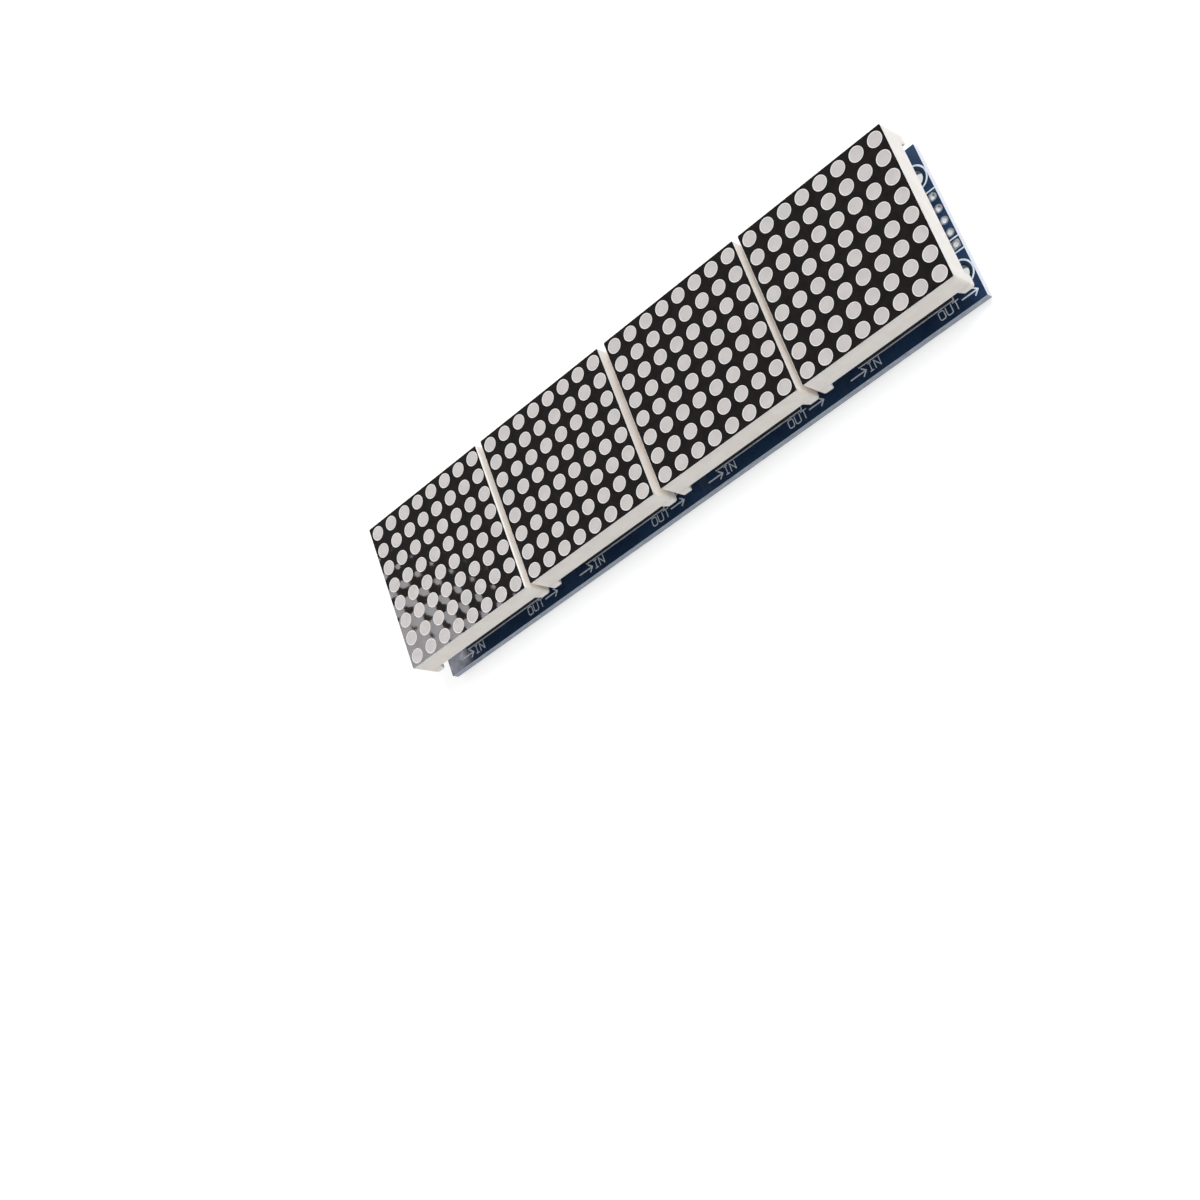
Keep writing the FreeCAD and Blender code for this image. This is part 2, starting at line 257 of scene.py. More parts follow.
def beside(path, reach):
    """The left side of a path, with an arc round each outer corner and round its far end."""
    points = [Vector(p) for p in path]
    runs = [(b - a).normalized() for a, b in zip(points, points[1:])]
    side = []
    for here, before, after in zip(points[1:], runs, runs[1:]):
        turn = math.atan2(before.cross(after), before.dot(after))
        start = left_of(before)
        if turn > 0:
            corner = start + left_of(after)
            side.append(here + corner * reach / corner.dot(start))
        else:
            side += arc(here, reach, math.atan2(start.y, start.x), turn, LINE_END_STEPS)
    last = left_of(runs[-1])
    side += arc(points[-1], reach, math.atan2(last.y, last.x), -math.pi, LINE_END_STEPS)
    return side


def stroke(path, width):
    """Outline of a drawn line with round ends."""
    there = beside(path, width / 2)
    back = beside(path[::-1], width / 2)
    return [tuple(p) for p in there + back]


def ring_of(shape, outline, z):
    return [shape.verts.new((x, y, z)) for x, y in outline]


def bridge(shape, lower, upper):
    """Faces between two rings with the same number of points."""
    for i in range(len(lower)):
        shape.faces.new((lower[i - 1], lower[i], upper[i], upper[i - 1]))


def stack(shape, levels):
    """A solid through outlines at given heights, closed at both ends."""
    rings = [ring_of(shape, outline, z) for outline, z in levels]
    for lower, upper in zip(rings, rings[1:]):
        bridge(shape, lower, upper)
    shape.faces.new(rings[0])
    shape.faces.new(rings[-1])


def tube(shape, levels):
    """A ring-shaped solid: its levels go round its section and close on the first."""
    rings = [ring_of(shape, outline, z) for outline, z in levels]
    for lower, upper in zip(rings, rings[1:] + rings[:1]):
        bridge(shape, lower, upper)


def washer(shape, outer, inner, low, high):
    tube(shape, ((outer, low), (outer, high), (inner, high), (inner, low)))


def plate(shape, skins):
    """A plate whose outside and holes are each a stack of outlines from its underside to its top."""
    rings = [[ring_of(shape, outline, z) for outline, z in skin] for skin in skins]
    for levels in rings:
        for lower, upper in zip(levels, levels[1:]):
            bridge(shape, lower, upper)
    for end in (0, -1):
        loops = [levels[end] for levels in rings]
        edges = [
            shape.edges.get((loop[i - 1], loop[i]))
            for loop in loops
            for i in range(len(loop))
        ]
        bmesh.ops.triangle_fill(shape, use_beauty=True, edges=edges)


def shape_of(node):
    """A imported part's surface, welded, with its flat faces whole again."""
    shape = bmesh.new()
    shape.from_mesh(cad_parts[node].data)
    bmesh.ops.scale(shape, vec=(1 / MM,) * 3, verts=shape.verts)
    bmesh.ops.remove_doubles(shape, verts=shape.verts, dist=0.001)
    bmesh.ops.dissolve_limit(
        shape,
        angle_limit=math.radians(0.3),
        verts=shape.verts,
        edges=shape.edges,
    )
    return shape


def soften(shape, width, steps):
    """Rounds every sharp edge."""
    sharp = [edge for edge in shape.edges if edge.calc_face_angle(0) > SHARP_ANGLE]
    bmesh.ops.bevel(
        shape,
        geom=sharp,
        offset=width,
        segments=steps,
        profile=0.5,
        affect="EDGES",
        clamp_overlap=True,
    )


def add_piece(name, shape, look, replaces=(), origin=(0, 0, 0)):
    """Makes a piece of the object from a shape in millimetres."""
    bmesh.ops.recalc_face_normals(shape, faces=shape.faces)
    mesh = bpy.data.meshes.new(name)
    shape.to_mesh(mesh)
    shape.free()
    mesh.transform(Matrix.Scale(MM, 4))
    mesh.materials.append(look)
    mesh.shade_smooth()
    mesh.set_sharp_from_angle(angle=SMOOTH_ANGLE)
    piece = bpy.data.objects.new(name, mesh)
    bpy.context.scene.collection.objects.link(piece)
    piece.location = Vector(origin) * MM
    piece.modifiers.new("flat_faces", "WEIGHTED_NORMAL").keep_sharp = True
    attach(piece, "root")
    if replaces:
        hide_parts(*replaces)
    return piece


def dress(node, look):
    """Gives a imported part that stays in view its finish."""
    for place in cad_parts[node].material_slots:
        place.material = look


def srgb(red, green, blue):
    """A colour as it looks on screen, 0 to 255, as the shader wants it."""
    shares = (value / 255 for value in (red, green, blue))
    return tuple(
        s / 12.92 if s <= 0.04045 else ((s + 0.055) / 1.055) ** 2.4 for s in shares
    )


def shader_of(look):
    return look.node_tree.nodes["Principled BSDF"]


def new_look(name, colour, roughness, **settings):
    """A material with constant settings on its shader's own sockets."""
    look = bpy.data.materials.new(name)
    look.use_nodes = True
    shader = shader_of(look)
    shader.inputs["Base Color"].default_value = (*colour, 1)
    shader.inputs["Roughness"].default_value = roughness
    for socket, value in settings.items():
        shader.inputs[socket.replace("_", " ")].default_value = value
    return look


def noise(look, size, detail=3.0, stretch=(1, 1, 1)):
    """Noise fixed to the object, with features of about that many millimetres."""
    tree = look.node_tree
    place = tree.nodes.new("ShaderNodeTexCoord")
    mapping = tree.nodes.new("ShaderNodeMapping")
    texture = tree.nodes.new("ShaderNodeTexNoise")
    mapping.inputs["Scale"].default_value = stretch
    texture.inputs["Scale"].default_value = 1 / (size * MM)
    texture.inputs["Detail"].default_value = detail
    tree.links.new(place.outputs["Object"], mapping.inputs["Vector"])
    tree.links.new(mapping.outputs["Vector"], texture.inputs["Vector"])
    return texture.outputs["Fac"]


def wave(look, pitch, direction):
    """Sine bands across one axis, one every pitch millimetres, with a crest at the origin."""
    tree = look.node_tree
    place = tree.nodes.new("ShaderNodeTexCoord")
    texture = tree.nodes.new("ShaderNodeTexWave")
    texture.bands_direction = direction
    texture.inputs["Scale"].default_value = WAVE_LENGTH / (pitch * MM)
    texture.inputs["Phase Offset"].default_value = math.pi
    tree.links.new(place.outputs["Object"], texture.inputs["Vector"])
    return texture.outputs["Fac"]


def crests(look, pitch):
    """Crests on a square grid, one every pitch millimetres both ways, with one at the origin."""
    tree = look.node_tree
    product = tree.nodes.new("ShaderNodeMath")
    product.operation = "MULTIPLY"
    tree.links.new(wave(look, pitch, "X"), product.inputs[0])
    tree.links.new(wave(look, pitch, "Y"), product.inputs[1])
    return product.outputs["Value"]


def tint(look, pattern, dark, light):
    """Colours the look between two colours by a pattern."""
    tree = look.node_tree
    ramp = tree.nodes.new("ShaderNodeValToRGB")
    for stop, place, colour in zip(ramp.color_ramp.elements, TINT_SPAN, (dark, light)):
        stop.position = place
        stop.color = (*colour, 1)
    tree.links.new(pattern, ramp.inputs["Fac"])
    tree.links.new(ramp.outputs["Color"], shader_of(look).inputs["Base Color"])


def gloss(look, pattern, low, high):
    """Varies the roughness between two values by a pattern."""
    tree = look.node_tree
    spread = tree.nodes.new("ShaderNodeMapRange")
    spread.inputs["From Min"].default_value = GLOSS_SPAN[0]
    spread.inputs["From Max"].default_value = GLOSS_SPAN[1]
    spread.inputs["To Min"].default_value = low
    spread.inputs["To Max"].default_value = high
    tree.links.new(pattern, spread.inputs["Value"])
    tree.links.new(spread.outputs["Result"], shader_of(look).inputs["Roughness"])


def relief(look, pattern, height):
    """Adds a bump of that height in millimetres, or a dent below zero, over any already there."""
    tree = look.node_tree
    normal = shader_of(look).inputs["Normal"]
    bump = tree.nodes.new("ShaderNodeBump")
    bump.inputs["Distance"].default_value = abs(height) * MM
    bump.invert = height < 0
    tree.links.new(pattern, bump.inputs["Height"])
    if normal.is_linked:
        tree.links.new(normal.links[0].from_socket, bump.inputs["Normal"])
    tree.links.new(bump.outputs["Normal"], normal)


def make_housing_plastic():
    """Moulded cream-white plastic with a faint flow pattern."""
    look = new_look("housing_plastic", srgb(245, 237, 228), 0.42, Subsurface_Weight=0.5)
    shader_of(look).inputs["Subsurface Scale"].default_value = 0.9 * MM
    shader_of(look).inputs["Subsurface Radius"].default_value = (1.0, 0.9, 0.8)
    tint(look, noise(look, 2.5), srgb(242, 233, 224), srgb(247, 240, 232))
    gloss(look, noise(look, 1.2), 0.36, 0.5)
    relief(look, noise(look, 0.35), 0.004)
    relief(look, noise(look, 6.0, detail=1.0), 0.03)
    return look


def make_film_ink():
    """Black ink film that dips a little between the windows."""
    look = new_look("film_ink", srgb(22, 18, 18), 0.05, Specular_IOR_Level=0.09)
    tint(look, noise(look, 1.5), srgb(16, 12, 12), srgb(25, 20, 20))
    gloss(look, noise(look, 3.0), 0.04, 0.06)
    relief(look, noise(look, 0.5), 0.002)
    relief(look, noise(look, 4.0, detail=1.0), 0.012)
    relief(look, crests(look, DOT_PITCH), -0.03)
    return look


def make_lens_resin():
    """Milky resin, a little uneven from dot to dot."""
    look = new_look("lens_resin", srgb(181, 174, 170), 0.5, Subsurface_Weight=0.1)
    shader_of(look).inputs["Subsurface Scale"].default_value = 0.5 * MM
    tint(look, noise(look, 2.2), srgb(176, 171, 167), srgb(185, 177, 173))
    gloss(look, noise(look, 0.8), 0.42, 0.6)
    relief(look, noise(look, 0.6), 0.006)
    return look


def make_cup_plastic():
    """White edge of the reflector cup round each dot."""
    look = new_look("cup_plastic", srgb(232, 228, 224), 0.4)
    tint(look, noise(look, 1.0), srgb(226, 221, 216), srgb(237, 233, 230))
    relief(look, noise(look, 0.4), 0.003)
    return look


def make_lacquer():
    """Dark blue solder mask over glass weave."""
    look = new_look("lacquer", srgb(34, 55, 84), 0.28, Specular_IOR_Level=0.22)
    tint(look, noise(look, 5.0), srgb(30, 50, 77), srgb(37, 60, 90))
    gloss(look, noise(look, 2.0), 0.22, 0.36)
    relief(look, crests(look, 0.45), 0.004)
    relief(look, noise(look, 0.8), 0.006)
    return look


def make_laminate(name, dark, light):
    """Sawn edge of the board: pale glass layers."""
    look = new_look(name, light, 0.6)
    layers = noise(look, 1.2, stretch=(1, 1, 9))
    tint(look, layers, dark, light)
    relief(look, noise(look, 0.25), 0.01)
    return look


def make_covered_copper():
    """Tracks under the solder mask, a shade lighter than the board."""
    look = new_look("covered_copper", srgb(24, 56, 108), 0.28, Specular_IOR_Level=0.3)
    tint(look, noise(look, 3.0), srgb(20, 50, 100), srgb(28, 62, 116))
    relief(look, noise(look, 0.6), 0.005)
    return look


def make_ring_mask():
    """Darker ring of thick mask round a mounting hole."""
    look = new_look("ring_mask", srgb(24, 44, 54), 0.3, Specular_IOR_Level=0.25)
    tint(look, noise(look, 1.0), srgb(20, 38, 48), srgb(30, 52, 62))
    relief(look, noise(look, 0.4), 0.005)
    return look


def make_ink():
    """White print, thin enough for the board to show a little."""
    look = new_look("print_ink", srgb(217, 223, 233), 0.6)
    tint(look, noise(look, 0.4), srgb(203, 211, 223), srgb(224, 229, 237))
    relief(look, noise(look, 0.15), 0.004)
    return look


def make_tin():
    """Tinned pads and pins."""
    look = new_look("tin", srgb(226, 228, 231), 0.36, Metallic=1.0)
    tint(look, noise(look, 0.9), srgb(214, 216, 220), srgb(234, 236, 239))
    gloss(look, noise(look, 0.6), 0.28, 0.46)
    relief(look, noise(look, 0.5), 0.012)
    return look


def make_solder():
    """Bright solder with a frosty grain."""
    look = new_look("bright_solder", srgb(200, 202, 206), 0.25, Metallic=1.0)
    tint(look, noise(look, 0.5), srgb(172, 175, 180), srgb(212, 214, 218))
    gloss(look, noise(look, 0.4), 0.16, 0.4)
    relief(look, noise(look, 0.35), 0.01)
    return look


def make_spring():
    """Contact springs of pale brass."""
    look = new_look("spring_brass", srgb(206, 188, 142), 0.3, Metallic=1.0)
    tint(look, noise(look, 1.0), srgb(190, 170, 122), srgb(214, 198, 156))
    relief(look, noise(look, 0.4), 0.004)
    return look


def make_socket_plastic():
    """Black glass-filled plastic."""
    look = new_look("socket_plastic", srgb(24, 24, 25), 0.42, Specular_IOR_Level=0.3)
    tint(look, noise(look, 0.6), srgb(20, 20, 21), srgb(30, 30, 31))
    gloss(look, noise(look, 0.9), 0.34, 0.52)
    relief(look, noise(look, 0.2), 0.006)
    return look


def make_chip_epoxy():
    """Dark grey moulding with a spark-eroded grain."""
    look = new_look("chip_epoxy", srgb(40, 40, 42), 0.6)
    tint(look, noise(look, 0.5), srgb(34, 34, 36), srgb(46, 46, 48))
    relief(look, noise(look, 0.12), 0.01)
    return look


def make_resistor_coat():
    """Black glass coat over a white ceramic chip."""
    look = new_look("resistor_coat", srgb(34, 33, 34), 0.35)
    tint(look, noise(look, 0.4), srgb(26, 25, 26), srgb(42, 41, 42))
    relief(look, noise(look, 0.2), 0.006)
    return look


def make_capacitor_ceramic():
    """Tan ceramic."""
    look = new_look("capacitor_ceramic", srgb(164, 132, 98), 0.5)
    tint(look, noise(look, 0.5), srgb(152, 120, 88), srgb(174, 142, 108))
    relief(look, noise(look, 0.2), 0.006)
    return look


def make_led_laminate():
    """Pale laminate that closes the back of a display."""
    look = new_look("led_laminate", srgb(206, 204, 186), 0.5)
    tint(look, noise(look, 2.0), srgb(198, 196, 176), srgb(214, 212, 196))
    relief(look, crests(look, 0.5), 0.01)
    return look


def film_outline(number, x):
    """Outline of a face film; the first is cut a little short on its neighbour's side."""
    trim = FIRST_TRIM if number == 1 else 0
    return round_rectangle(x - trim / 2, 0, FILM_HALF - trim / 2, FILM_HALF, (FILM_CORNER,) * 4)


def make_housing(number, look):
    """Four drafted walls that carry the face film on a ledge, with round corners and a foot at each."""
    node = f"display_housing_{number}"
    low, high = node_box(node)
    centre = display_centre(number)
    base = node_box(f"led_board_{number}")[0].z
    inside = node_box(f"resin_fill_{number}")[1].x - centre
    spread = (high.x - low.x) / 2
    face = FILM_HALF + RIM
    recess = film_outline(number, centre)

    def level(half, radius, z):
        return round_rectangle(centre, 0, half, half, (radius,) * 4), z

    def lower_edge(inset, z):
        return level(spread - inset, CORNER - inset, z)

    levels = [
        lower_edge(LOWER_EDGE, base),
        lower_edge(LOWER_EDGE_MIDDLE, base + LOWER_EDGE_MIDDLE),
        lower_edge(0, base + LOWER_EDGE),
    ]
    levels += [level(face - inset, CORNER - loss, FACE - drop) for inset, drop, loss in UPPER_EDGE]
    levels += [(recess, FACE), (recess, FILM_BACK)]
    levels += [level(inside, TIGHT_CORNER, z) for z in (FILM_BACK, base)]
    shape = bmesh.new()
    tube(shape, levels)
    for side in CORNERS:
        add_foot(shape, centre, side, spread, low.z, base)
    add_piece(f"housing_{number}", shape, look, (node,))


def add_foot(shape, centre, side, spread, low, base):
    """A foot that narrows downwards, flush with the housing's two outer faces."""
    radii = [CORNER if corner == side else FOOT_CORNER for corner in CORNERS]

    def level(length, inset, z):
        half = length / 2 - inset
        middle = spread - length / 2
        place_x = centre + side[0] * middle
        place_y = side[1] * middle
        sharper = [max(radius - inset, TIGHT_CORNER) for radius in radii]
        return round_rectangle(place_x, place_y, half, half, sharper), z

    stack(
        shape,
        (
            level(FOOT_END, LOWER_EDGE, low),
            level(FOOT_END, LOWER_EDGE_MIDDLE, low + LOWER_EDGE_MIDDLE),
            level(FOOT_END, 0, low + LOWER_EDGE),
            level(FOOT_ROOT - FOOT_SINK / 2, 0, base - FOOT_SINK),
            level(FOOT_ROOT, LOWER_EDGE + FOOT_SINK, base + LOWER_EDGE),
        ),
    )


def dot_places():
    half = (DOTS - 1) / 2
    steps = range(DOTS)
    return [((i - half) * DOT_PITCH, (j - half) * DOT_PITCH) for i in steps for j in steps]


def make_face(number, look):
    """Black film with a round window over each dot, about its display's middle."""
    shape = bmesh.new()
    outline = film_outline(number, 0)
    thickness = FACE - FILM_BACK
    skins = [((outline, 0), (outline, thickness))]
    for x, y in dot_places():
        window = circle(x, y, WINDOW_RADIUS)
        skins.append(((window, 0), (window, thickness)))
    plate(shape, skins)
    add_piece(
        f"face_{number}",
        shape,
        look,
        (f"face_film_{number}",),
        (display_centre(number), 0, FILM_BACK),
    )


def make_cups(number, look):
    """White edge of the cup round each dot."""
    shape = bmesh.new()
    for x, y in dot_places():
        outer = circle(x + display_centre(number), y, WINDOW_RADIUS)
        inner = circle(x + display_centre(number), y, WINDOW_RADIUS - CUP_WIDTH)
        washer(shape, outer, inner, FILM_BACK - LENS_ROOT, FACE - CUP_SINK)
    add_piece(f"cups_{number}", shape, look)


def make_lenses(number, look):
    """Resin in each cup, drawn down a little in its middle."""
    shape = bmesh.new()
    full = WINDOW_RADIUS - CUP_WIDTH
    top = FACE - LENS_SINK
    for x, y in dot_places():
        levels = [(circle(x + display_centre(number), y, full), FILM_BACK - LENS_ROOT)]
        for share in LENS_SHARES:
            outline = circle(x + display_centre(number), y, full * share)
            levels.append((outline, top - LENS_DISH * (1 - share * share)))
        stack(shape, levels)
    add_piece(f"lenses_{number}", shape, look)


def hole_places():
    """Mounting holes: four to a section."""
    return [
        (section_centre(number) + end * HOLE_LONG, BOARD_MIDDLE.y + side * HOLE_WIDE)
        for number in SECTIONS
        for end in (-1, 1)
        for side in (-1, 1)
    ]


def header_places(number):
    """Header holes at the two ends of a section, its first way first."""
    half = (HEADER_WAYS - 1) / 2
    return [
        (section_centre(number) + end * HEADER_OUT, (way - half) * PIN_PITCH, way == 0)
        for end in (-1, 1)
        for way in range(HEADER_WAYS)
    ]


def make_board(mask, laminate, end_highlight):
    """The long board with its holes; its edges show the laminate, and its two end edges show a paler copy
    of it, which is a painted highlight.
    """
    shape = bmesh.new()
    half = BOARD_HIGH - BOARD_MIDDLE
    outline = rectangle(BOARD_MIDDLE.x, BOARD_MIDDLE.y, half.x, half.y)
    skins = [((outline, BACK), (outline, FRONT))]
    for x, y in hole_places():
        hole = circle(x, y, HOLE_RADIUS)
        skins.append(((hole, BACK), (hole, FRONT)))
    for number in SECTIONS:
        for x, y, _ in header_places(number):
            hole = circle(x, y, PIN_HOLE_RADIUS + PAD_RISE, SMALL_STEPS)
            skins.append(((hole, BACK), (hole, FRONT)))
    plate(shape, skins)
    piece = add_piece("board", shape, mask, ("circuit_board",))
    piece.data.materials.append(laminate)
    piece.data.materials.append(end_highlight)
    for polygon in piece.data.polygons:
        if abs(polygon.normal.z) < 0.5:
            # End edges take the paler laminate copy: painted highlight.
            at_end = abs(polygon.center.x) > (BOARD_HIGH.x - 0.05) * MM
            polygon.material_index = 2 if at_end else 1


def pad_outline(x, y, square):
    """A round pad, or a square one with as many points."""
    if not square:
        return circle(x, y, PAD_RADIUS, SMALL_STEPS)

    def pressed(share):
        return PAD_RADIUS * max(-1, min(1, SQUARE_SPREAD * share))

    return [(x + pressed(px), y + pressed(py)) for px, py in circle(0, 0, 1, SMALL_STEPS)]


def make_pads(look):
    """Tinned pads on both faces of the board, joined by a barrel through each hole."""
    shape = bmesh.new()
    for number in SECTIONS:
        for x, y, square in header_places(number):
            pad = pad_outline(x, y, square)
            barrel = circle(x, y, PIN_HOLE_RADIUS + PAD_RISE, SMALL_STEPS)
            hole = circle(x, y, PIN_HOLE_RADIUS, SMALL_STEPS)
            tube(
                shape,
                (
                    (pad, BACK - PAD_RISE),
                    (pad, BACK),
                    (barrel, BACK),
                    (barrel, FRONT),
                    (pad, FRONT),
                    (pad, FRONT + PAD_RISE),
                    (hole, FRONT + PAD_RISE),
                    (hole, BACK - PAD_RISE),
                ),
            )
    add_piece("header_pads", shape, look)


def make_hole_rings(look):
    """A darker ring of mask round each mounting hole, on both faces."""
    shape = bmesh.new()
    for x, y in hole_places():
        outer = circle(x, y, RING_INNER - MASK_GAP)
        inner = circle(x, y, HOLE_RADIUS + MASK_MARGIN)
        washer(shape, outer, inner, FRONT, FRONT + COPPER_RISE)
        washer(shape, outer, inner, BACK - COPPER_RISE, BACK)
    add_piece("hole_rings", shape, look)


def within_board(outline):
    """Trims an outline that runs over the board's ends."""
    end = BOARD_HIGH.x - BOARD_MARGIN
    return [(max(-end, min(end, x)), y) for x, y in outline]


LETTERS = {
    "I": (((0.2, 0), (0.8, 0)), ((0.5, 0), (0.5, 1)), ((0.2, 1), (0.8, 1))),
    "N": (((0, 0), (0, 1), (1, 0), (1, 1)),),
    "O": (
        ((0.5, 1), (0.2, 1), (0, 0.85), (0, 0.15), (0.2, 0), (0.5, 0)),
        ((0.5, 1), (0.8, 1), (1, 0.85), (1, 0.15), (0.8, 0), (0.5, 0)),
    ),
    "U": (((0, 1), (0, 0.15), (0.2, 0), (0.8, 0), (1, 0.15), (1, 1)),),
    "T": (((0.5, 0), (0.5, 1)), ((-0.05, 1), (1.05, 1))),
}


def letter(name, x):
    """Lines of a letter whose left side is at x."""
    return [
        [(x + u * LETTER_WIDTH, LETTER_BASE + v * LETTER_HEIGHT) for u, v in path]
        for path in LETTERS[name]
    ]


def arrow(start, end, level):
    """Lines of an arrow along X with an open head."""
    shaft = [(start, level), (end, level)]
    head = [
        (end - ARROW_HEAD, level + ARROW_REACH),
        (end, level),
        (end - ARROW_HEAD, level - ARROW_REACH),
    ]
    return [shaft, head]


def socket_lines(centre, side):
    """Outline of a socket's place, with a bar that marks its first way."""
    left = centre - SOCKET_PRINT_LENGTH
    right = centre + SOCKET_PRINT_LENGTH
    near = side * (PIN_ROW - SOCKET_PRINT_WIDTH)
    far = side * (PIN_ROW + SOCKET_PRINT_WIDTH)
    bar = centre + PIN_PITCH * (WAYS / 2 - 1)
    box = [(left, near), (left, far), (right, far), (right, near)]
    return [box, [(bar, near), (bar, far)]]


def header_lines(centre, side):
    """Bars across the board's end at the header's two ends and beside its first way."""
    start = centre + side * (HEADER_OUT - PIN_PITCH / 2)
    end = centre + side * (HEADER_OUT + HEADER_PRINT_OUT)
    reach = PIN_PITCH * HEADER_WAYS / 2
    first = PIN_PITCH - reach
    lines = [[(start, y), (end, y)] for y in (-reach, first, reach)]
    return lines + [[(start, -reach), (start, reach)]]


def section_lines(number):
    """Lines of a section's front print, each with its width."""
    centre = section_centre(number) + INK_SHIFT
    words = [path for name, place in LETTER_PLACES for path in letter(name, centre + place)]
    marks = []
    for start, end, level in ARROW_PLACES:
        marks += arrow(centre + start, centre + end, level)
    for side in (-1, 1):
        marks += socket_lines(centre, side) + header_lines(centre, side)
    return [(path, LETTER_STROKE) for path in words] + [(path, INK_WIDTH) for path in marks]


def make_print(look):
    """White print on the board's front: arrows, port words, outlines and rings.
    Each line stands a hair above the one before, so that crossings don't lie in one plane."""
    shape = bmesh.new()
    for number in SECTIONS:
        for order, (path, width) in enumerate(section_lines(number)):
            outline = within_board(stroke(path, width))
            top = FRONT + INK_RISE + INK_STEP * (order % INK_LAYERS)
            stack(shape, ((outline, FRONT), (outline, top)))
    for x, y in hole_places():
        outer = within_board(circle(x, y + RING_SHIFT, RING_OUTER))
        inner = circle(x, y + RING_SHIFT, RING_INNER)
        washer(shape, outer, inner, FRONT, FRONT + INK_RISE)
    add_piece("front_print", shape, look)


def make_back_print(look):
    """White print on the board's back: rings and header bars."""
    shape = bmesh.new()
    for number in SECTIONS:
        centre = section_centre(number)
        for order, path in enumerate(header_lines(centre, -1) + header_lines(centre, 1)):
            outline = within_board(stroke(path, INK_WIDTH))
            low = BACK - COPPER_RISE - INK_RISE - INK_STEP * order
            stack(shape, ((outline, low), (outline, BACK)))
    for x, y in hole_places():
        outer = within_board(circle(x, y, RING_OUTER))
        washer(shape, outer, circle(x, y, RING_INNER), BACK - INK_RISE, BACK)
    add_piece("back_print", shape, look)


def way_place(number, way):
    return section_centre(number) + (way - (WAYS - 1) / 2) * PIN_PITCH


def fan_lines(number, side):
    """Back tracks from a socket row to the vias beside the chip."""
    lines = []
    for way in range(WAYS):
        start = way_place(number, way)
        end = section_centre(number) + (way - (WAYS - 1) / 2) * LEAD_PITCH
        lean = abs(start - end)
        lines.append(
            [
                (start, side * PIN_ROW),
                (start, side * (VIA_ROW + lean)),
                (end, side * VIA_ROW),
            ]
        )
    return lines


def bus_lines(number):
    """Back tracks between a section's two headers and on to the next, each with its width."""
    centre = section_centre(number)
    half = (HEADER_WAYS - 1) / 2
    reach = PAD_RADIUS - PAD_OVERLAP
    runs = [(centre - HEADER_OUT + reach, centre + HEADER_OUT - reach)]
    if number < len(SECTIONS):
        runs.append((centre + HEADER_OUT + reach, section_centre(number + 1) - HEADER_OUT - reach))
    lines = []
    for way in range(HEADER_WAYS):
        y = (way - half) * PIN_PITCH
        width = SIGNAL_WIDTH if way < SIGNAL_WAYS else POWER_WIDTH
        lines += [([(start, y), (end, y)], width) for start, end in runs]
    return lines


def make_tracks(look):
    """Raised tracks under the mask of the board's back, with their vias, and short ones on its front."""
    shape = bmesh.new()
    for number in SECTIONS:
        for path in fan_lines(number, -1) + fan_lines(number, 1):
            outline = stroke(path, FAN_WIDTH)
            stack(shape, ((outline, BACK - COPPER_RISE), (outline, BACK)))
            x, y = path[-1]
            washer(
                shape,
                circle(x, y, VIA_RADIUS, VIA_STEPS),
                circle(x, y, VIA_HOLE, VIA_STEPS),
                BACK - COPPER_RISE - VIA_RISE,
                BACK,
            )
            lead = stroke([(x, y), (x, math.copysign(LEAD_TRACK_END, y))], LEAD_TRACK_WIDTH)
            stack(shape, ((lead, FRONT), (lead, FRONT + COPPER_RISE)))
        for path, width in bus_lines(number):
            outline = stroke(path, width)
            low = BACK - COPPER_RISE - INK_STEP
            stack(shape, ((outline, low), (outline, BACK)))
    add_piece("tracks", shape, look)


def make_joints(number, look):
    """Solder cones on the board's back, each drawn up to the end of its contact."""
    shape = bmesh.new()
    node = f"solder_joints_{number}"
    low, high = node_box(node)
    height = high.z - low.z
    for side in (-1, 1):
        for way in range(WAYS):
            x = way_place(number, way)
            levels = [
                (circle(x, side * PIN_ROW, radius, JOINT_STEPS), high.z - height * share)
                for radius, share in JOINT_PROFILE
            ]
            stack(shape, levels)
    add_piece(f"joints_{number}", shape, look, (node,))


def way_outline(x, y, half_x, half_y, cut):
    """A square with cut corners."""
    return [
        (x - half_x, y - half_y + cut),
        (x - half_x + cut, y - half_y),
        (x + half_x - cut, y - half_y),
        (x + half_x, y - half_y + cut),
        (x + half_x, y + half_y - cut),
        (x + half_x - cut, y + half_y),
        (x - half_x + cut, y + half_y),
        (x - half_x, y + half_y - cut),
    ]


def strip_outline(number, y, half):
    """Outline of a socket strip: the cut corners of neighbouring ways meet in a groove."""
    near, far = [], []
    for way in range(WAYS):
        points = way_outline(way_place(number, way), y, PIN_PITCH / 2, half, WAY_GROOVE)
        near += points[1:4] if way < WAYS - 1 else points[1:5]
        far = points[5:] + far if way > 0 else points[5:] + [points[0]] + far
    return near + far


def make_socket(number, row, side, look):
    """Black strip socket with a square funnel to each way."""
    node = f"{row}_socket_{number}"
    low, high = node_box(node)
    y = side * PIN_ROW
    half = (high.y - low.y) / 2
    shape = bmesh.new()
    outline = strip_outline(number, y, half)
    skins = [((outline, low.z), (outline, high.z))]
    for way in range(WAYS):
        x = way_place(number, way)
        throat = rectangle(x, y, WAY_HOLE, WAY_HOLE)
        mouth = rectangle(x, y, WAY_FUNNEL, WAY_FUNNEL)
        skins.append(
            (
                (throat, low.z),
                (throat, high.z - FUNNEL_DEPTH),
                (mouth, high.z),
            )
        )
    plate(shape, skins)
    add_piece(f"{row}_strip_{number}", shape, look, (node,))


